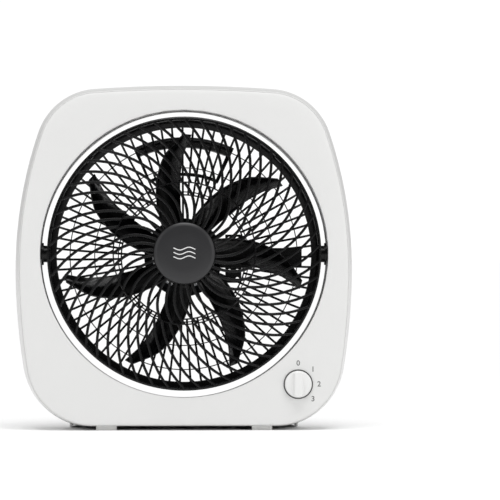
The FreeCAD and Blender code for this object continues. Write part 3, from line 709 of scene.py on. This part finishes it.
class FAN_OT_front_grille(bpy.types.Operator):
    """Front grille: swirling ribs, the support ring, the rim and the hub cap"""

    bl_idname = "fan.front_grille"
    bl_label = "Front grille"

    def execute(self, context):
        width = context.scene.fan_head.rib_width * 1000
        bm = bmesh.new()
        lip = HEAD_R - RIM_T
        for count, start, end, swirl, size in (
                (OUTER_RIBS, RING_R, lip + 0.4, OUTER_SWIRL, width),
                (INNER_RIBS, CAP_R - 1.0, RING_R, INNER_SWIRL, width * 1.08)):
            radii = [start + (end - start) * k / 9 for k in range(10)]
            path = rib_path(swirl, radii)
            verts = sweep(bm, rounded(size, RIB_DEPTH, 8), path)
            repeat_about_axis(bm, verts, count)
        torus(bm, RING_R, dome_depth(RING_R) + RIB_SINK, RING_WIDTH, RING_DEPTH, 144)
        # the rim, with a fine raised bead that catches the light
        turn(bm, [(lip - 0.6, RIM_JOIN), (lip - 0.6, RIM_FRONT + 2.2), (lip + 0.1, RIM_FRONT + 1.4),
                  (lip + 0.4, RIM_FRONT + 0.3), (lip + 0.7, RIM_FRONT), (lip + 1.0, RIM_FRONT + 0.3),
                  (lip + 1.3, RIM_FRONT + 1.2), (HEAD_R - 0.7, RIM_FRONT + 1.6),
                  (HEAD_R, RIM_FRONT + 2.4), (HEAD_R, RIM_JOIN)], steps=192)
        seat = dome_depth(CAP_R)
        turn(bm, [(CAP_R - 3.0, seat), (CAP_R + 1.0, seat + 0.2), (CAP_R + 1.0, seat + 3.2),
                  (CAP_R - 3.0, seat + 3.2)], steps=96)
        finished("front_grille_ribs", bm, MATERIALS["pp_black_moulded"], "head", ["front_grille"],
                 sharp=50.0)
        bm = bmesh.new()
        seat = dome_depth(0.0) + 0.3
        turn(bm, [(0.0, seat - 2.6), (20.0, seat - 2.4), (CAP_R - 4.2, seat - 1.8),
                  (CAP_R - 3.2, seat - 1.5), (CAP_R - 2.6, seat - 1.2), (CAP_R - 0.5, seat - 0.5),
                  (CAP_R, seat), (CAP_R, seat + 1.0), (0.0, seat + 1.0)], closed=False, steps=120)
        finished("hub_badge", bm, MATERIALS["abs_grey_satin"], "head", ["hub_cap"])
        bm = bmesh.new()
        for row in (-1, 0, 1):
            points = [Vector((x, seat - 2.66 + 0.0006 * x * x,
                              row * MARK_GAP + MARK_RISE * sin(x * 2 * pi / MARK_WAVE)))
                      for x in [MARK_HALF * (k / 12 - 1) for k in range(25)]]
            sweep(bm, rounded(1.3, 0.16, 6), frames_along(points, lambda here: Vector((0, -1, 0))))
        finished("hub_mark", bm, MATERIALS["ink_light_printed"], "head")
        return {"FINISHED"}


class FAN_OT_rear_grille(bpy.types.Operator):
    """Rear grille: the drum with its inward lip, thin ribs on a dome, the rings and the end plate"""

    bl_idname = "fan.rear_grille"
    bl_label = "Rear grille"

    def execute(self, context):
        settings = context.scene.fan_head
        width = settings.rear_rib_width * 1000
        bm = bmesh.new()
        lip = HEAD_R - RIM_T
        turn(bm, [(HEAD_R - 0.3, RIM_JOIN + 0.3), (HEAD_R, RIM_JOIN + 0.8), (HEAD_R, 20.0),
                  (HEAD_R - 1.5, 34.0), (161.4, DRUM_END - 0.8), (160.6, DRUM_END), (158.4, DRUM_END),
                  (158.0, DRUM_END - 1.0), (158.8, LIP_DEPTH + 2.5), (LIP_R + 0.6, LIP_DEPTH + 2.5),
                  (LIP_R, LIP_DEPTH + 1.9), (LIP_R, LIP_DEPTH + 0.6),
                  (LIP_R + 0.6, LIP_DEPTH), (159.6, LIP_DEPTH),
                  (lip, LIP_DEPTH - 1.5), (lip, RIM_JOIN + 0.3)], steps=192)
        curve = smooth_curve(REAR_CURVE, 3)
        full = [p for p in curve if p.x >= REAR_RING_R - 1.0]
        short = [p for p in curve if REAR_PLATE_R - 4.0 <= p.x <= REAR_RING_R + 1.5]
        count = settings.rear_ribs

        def ribs(line, number):
            points = [point(p.x - 0.9, REAR_START, p.y - 1.0) for p in line]
            if line is full:
                points[0].y -= 2.0           # the rib's foot reaches into the drum
            outward = [Vector((p.x, 0, p.z)).normalized() * 0.8 + Vector((0, 0.6, 0)) for p in points]
            lookup = {tuple(p): o for p, o in zip(points, outward)}
            path = frames_along(points, lambda here: lookup[tuple(here)])
            verts = sweep(bm, rounded(width, REAR_RIB_DEPTH, 6), path)
            repeat_about_axis(bm, verts, number)

        ribs(full, count)
        ribs(short, count // 3)
        for radius, depth, size in REAR_RINGS:
            torus(bm, radius - 0.6, depth - 0.4, size, size, 144, 6)
        turn(bm, [(0.0, REAR_FLAT_DEPTH - 2.6), (REAR_FLAT_R - 1.6, REAR_FLAT_DEPTH - 2.6),
                  (REAR_PLATE_R - 0.8, 128.0), (REAR_PLATE_R + 1.2, 127.6), (REAR_PLATE_R + 1.4, 129.0),
                  (REAR_FLAT_R + 1.2, REAR_FLAT_DEPTH - 1.0), (REAR_FLAT_R, REAR_FLAT_DEPTH - 0.2),
                  (REAR_FLAT_R - 1.0, REAR_FLAT_DEPTH), (0.0, REAR_FLAT_DEPTH)], closed=False, steps=96)
        finished("rear_grille_ribs", bm, MATERIALS["pp_black_moulded"], "head", ["rear_grille"],
                 sharp=50.0)
        return {"FINISHED"}


class FAN_OT_handle(bpy.types.Operator):
    """Carrying handle: a hood over the top of the rear grille with a grip bar inside"""

    bl_idname = "fan.handle"
    bl_label = "Carrying handle"

    def execute(self, context):
        bm = bmesh.new()
        start = 90.0 - HANDLE_HALF
        sweep_angle = 2 * HANDLE_HALF
        # hood and grip in one section, with a hollow behind the grip for the fingers
        rear = HANDLE_REAR
        turn(bm, [(HANDLE_R - 2.6, 79.0), (HANDLE_R - 0.8, 78.6), (HANDLE_R, 79.4), (HANDLE_R, rear - 3.0),
                  (HANDLE_R - 0.9, rear - 0.9), (HANDLE_R - 3.0, rear), (136.0, rear),
                  (134.2, rear - 0.8), (133.5, rear - 2.4), (133.5, 98.4), (134.3, 96.6),
                  (136.2, 96.0), (HANDLE_R - 3.6, 96.0), (HANDLE_R - 3.0, 95.0)],
             angle=sweep_angle, start=start, steps=40)
        # lower bar
        low = HANDLE_LOW_R
        turn(bm, [(low, 100.5), (low + 0.8, 99.7), (low + 3.2, 99.7), (low + 4.0, 100.5),
                  (low + 4.0, rear - 0.9), (low + 3.1, rear), (low + 0.9, rear), (low, rear - 0.9)],
             angle=sweep_angle, start=start, steps=40)
        # end cheeks, from the lower bar to the hood
        for side in (-1, 1):
            outside = 90.0 + side * (HANDLE_HALF - CHEEK / 2) - CHEEK / 2
            turn(bm, [(low + 0.5, 103.0), (118.0, 96.0), (132.0, 87.0), (HANDLE_R - 1.5, 79.5),
                      (HANDLE_R - 0.6, rear - 2.0), (HANDLE_R - 2.4, rear - 0.3),
                      (low + 1.5, rear - 0.3)],
                 angle=CHEEK, start=outside, steps=1)
        finished("handle", bm, MATERIALS["pp_black_moulded"], "head", ["carry_handle"],
                 sharp=40.0)
        return {"FINISHED"}


class FAN_OT_impeller(bpy.types.Operator):
    """Impeller: seven swept blades on a rounded hub"""

    bl_idname = "fan.impeller"
    bl_label = "Impeller"

    def execute(self, context):
        bm = bmesh.new()
        across, along = 10, 14
        blade = bmesh.ops.create_grid(bm, x_segments=along, y_segments=across, size=0.5)["verts"]
        for vert in blade:
            u, w = vert.co.x + 0.5, vert.co.y + 0.5
            radius = ROOT_R + (TIP_R - 0.4 - ROOT_R) * u
            lead = between(LEAD_DEG, BLADE_RADII, radius)
            trail = between(TRAIL_DEG, BLADE_RADII, radius)
            front = between(LEAD_DEPTH, BLADE_RADII, radius)
            rear = between(TRAIL_DEPTH, BLADE_RADII, radius)
            bulge = BLADE_BULGE * sin(pi * w) * (1.0 - 0.6 * u)
            vert.co = point(radius, lead + (trail - lead) * w, front + (rear - front) * w + bulge + 1.1)
        faces = list({f for v in blade for f in v.link_faces})
        bmesh.ops.recalc_face_normals(bm, faces=faces)
        bmesh.ops.solidify(bm, geom=faces, thickness=BLADE_T)
        rim = [e for e in bm.edges if e.calc_face_angle(0.0) > 0.9]
        bmesh.ops.bevel(bm, geom=rim, offset=0.6, segments=2, profile=0.5, affect="EDGES", material=-1)
        repeat_about_axis(bm, list(bm.verts), BLADES)
        turn(bm, [(5.0, 24.6), (HUB_R - 6.0, 24.4), (HUB_R - 2.6, 25.2), (HUB_R - 0.8, 27.0), (HUB_R, 30.0),
                  (HUB_R, 60.6), (HUB_R - 2.2, 60.6), (HUB_R - 2.2, 28.5), (5.0, 28.0)], steps=96)
        finished("fan_blades", bm, MATERIALS["abs_black_polished"], "impeller_group", ["impeller"],
                 sharp=35.0)
        return {"FINISHED"}


class FAN_OT_wire_guard(bpy.types.Operator):
    """Wire guard: a small plate with rows of round holes beside the motor"""

    bl_idname = "fan.wire_guard"
    bl_label = "Wire guard"

    def execute(self, context):
        bm = bmesh.new()
        pitch, hole = GUARD_PITCH, GUARD_HOLE_R
        columns, rows = GUARD_HOLES
        # one cell: a square of eight points round a hole of eight, then repeated
        cell = bmesh.ops.create_circle(bm, cap_ends=False, segments=8, radius=hole)["verts"]
        square = bmesh.ops.create_circle(bm, cap_ends=False, segments=8, radius=pitch / 2)["verts"]
        for vert in square:
            big = max(abs(vert.co.x), abs(vert.co.y))
            vert.co *= pitch / 2 / big
        bmesh.ops.bridge_loops(bm, edges=ring_edges(cell) + ring_edges(square))
        bmesh.ops.transform(bm, matrix=Matrix.Rotation(pi / 2, 4, "X"), verts=bm.verts)
        bmesh.ops.translate(bm, vec=GUARD_FIRST, verts=bm.verts)
        first = list(bm.verts) + list(bm.edges) + list(bm.faces)
        for column in range(columns):
            for row in range(rows):
                if column or row:
                    copy = bmesh.ops.duplicate(bm, geom=first)["geom"]
                    bmesh.ops.translate(bm, vec=(pitch * column, 0, pitch * row),
                                        verts=[g for g in copy if isinstance(g, bmesh.types.BMVert)])
        bmesh.ops.remove_doubles(bm, verts=bm.verts, dist=0.01)
        bmesh.ops.recalc_face_normals(bm, faces=bm.faces)
        bmesh.ops.solidify(bm, geom=bm.faces[:], thickness=-GUARD_T)
        finished("guard_plate", bm, MATERIALS["pp_black_moulded"], "head", ["wire_guard"])
        return {"FINISHED"}


class FAN_OT_stage(bpy.types.Operator):
    """Stage: a white floor, soft lights and the camera"""

    bl_idname = "fan.stage"
    bl_label = "Stage"

    def execute(self, context):
        scene = context.scene
        bm = bmesh.new()
        bmesh.ops.create_grid(bm, x_segments=1, y_segments=1, size=FLOOR_HALF)
        mesh = bpy.data.meshes.new("floor")
        bm.to_mesh(mesh)
        bm.free()
        floor = bpy.data.objects.new("floor", mesh)
        scene.collection.objects.link(floor)
        # White paper sweep: matt and bright, so only the contact shadow shows
        tree, shader, place = material("paper_white_sweep")
        fibre = speckle(tree, place, 6.0, 3.0)
        tree.links.new(tint(tree, fibre, (0.93, 0.93, 0.93, 1), (0.95, 0.95, 0.95, 1)),
                       shader.inputs["Base Color"])
        shader.inputs["Roughness"].default_value = 0.9
        shader.inputs["Specular IOR Level"].default_value = 0.0
        mesh.materials.append(MATERIALS["paper_white_sweep"])

        # the world lights the fan softly, is dim in gloss, and shows as plain white behind the fan
        world = bpy.data.worlds.new("studio")
        world.use_nodes = True
        tree = world.node_tree
        path = add(tree, "ShaderNodeLightPath")
        mirrored = add(tree, "ShaderNodeMapRange", {"To Min": SKY_SOFT, "To Max": SKY_GLOSS},
                       {"Value": path.outputs["Is Glossy Ray"]})
        tree.links.new(mirrored.outputs["Result"], tree.nodes["Background"].inputs["Strength"])
        backdrop = add(tree, "ShaderNodeBackground", {"Strength": BACKDROP})
        tree.nodes["Background"].inputs["Color"].default_value = (1, 1, 1, 1)
        backdrop.inputs["Color"].default_value = (1, 1, 1, 1)
        mixed = add(tree, "ShaderNodeMixShader", links={
            0: path.outputs["Is Camera Ray"], 1: tree.nodes["Background"].outputs[0],
            2: backdrop.outputs[0]})
        tree.links.new(mixed.outputs[0], tree.nodes["World Output"].inputs["Surface"])
        scene.world = world
        scene.view_settings.view_transform = "Standard"
        scene.view_settings.look = "None"
        scene.view_settings.exposure = 0.0

        def lamp(name, kind, place, target, power, **settings):
            light = bpy.data.lights.new(name, kind)
            light.energy = power
            for setting, value in settings.items():
                setattr(light, setting, value)
            obj = bpy.data.objects.new(name, light)
            scene.collection.objects.link(obj)
            obj.location = place
            aim = Vector(target) - Vector(place)
            obj.rotation_euler = aim.to_track_quat("-Z", "Y").to_euler()

        middle = (0.0, 0.0, 0.2)
        strip = {"shape": "RECTANGLE", "size_y": 1.2}
        lamp("soft_sun", "SUN", (0.1, -0.5, 2.2), middle, 1.7, angle=radians(40.0))
        lamp("left_strip", "AREA", (-1.5, -1.3, 1.1), middle, 3.6, size=0.5, **strip)
        lamp("right_strip", "AREA", (1.5, -1.2, 0.9), middle, 4.5, size=0.4, **strip)

        camera = bpy.data.cameras.new("camera")
        camera.sensor_width = 36.0
        camera.lens = CAMERA_LENS
        camera.dof.use_dof = False
        camera.clip_end = 200.0
        holder = bpy.data.objects.new("camera", camera)
        scene.collection.objects.link(holder)
        height = FACE_CENTRE.z + CAMERA_LIFT
        holder.location = (CAMERA_X, FACE_CENTRE.y - CAMERA_AWAY, height)
        aim = Vector((CAMERA_AIM_X, FACE_CENTRE.y, height)) - holder.location
        holder.rotation_euler = aim.to_track_quat("-Z", "Y").to_euler()
        scene.camera = holder
        return {"FINISHED"}


class FAN_PT_panel(bpy.types.Panel):
    """Lists the fan's operators and settings"""

    bl_idname = "FAN_PT_panel"
    bl_label = "Box Fan"
    bl_space_type = "VIEW_3D"
    bl_region_type = "UI"
    bl_category = "Box Fan"

    def draw(self, context):
        layout = self.layout
        for settings in (context.scene.fan_housing, context.scene.fan_head):
            for name in settings.__annotations__:
                layout.prop(settings, name)
        for step in STEPS:
            layout.operator(step.bl_idname)


STEPS = (FAN_OT_materials, FAN_OT_front_shell, FAN_OT_knob, FAN_OT_front_grille, FAN_OT_rear_grille,
         FAN_OT_handle, FAN_OT_impeller, FAN_OT_wire_guard, FAN_OT_stage)
CLASSES = (FanHousingSettings, FanHeadSettings) + STEPS + (FAN_PT_panel,)


def register():
    for cls in CLASSES:
        bpy.utils.register_class(cls)
    bpy.types.Scene.fan_housing = PointerProperty(type=FanHousingSettings)
    bpy.types.Scene.fan_head = PointerProperty(type=FanHeadSettings)


def unregister():
    del bpy.types.Scene.fan_head
    del bpy.types.Scene.fan_housing
    for cls in reversed(CLASSES):
        bpy.utils.unregister_class(cls)


def main():
    register()
    for step in STEPS:
        group, name = step.bl_idname.split(".")
        getattr(getattr(bpy.ops, group), name)()


if __name__ == "__main__":
    main()
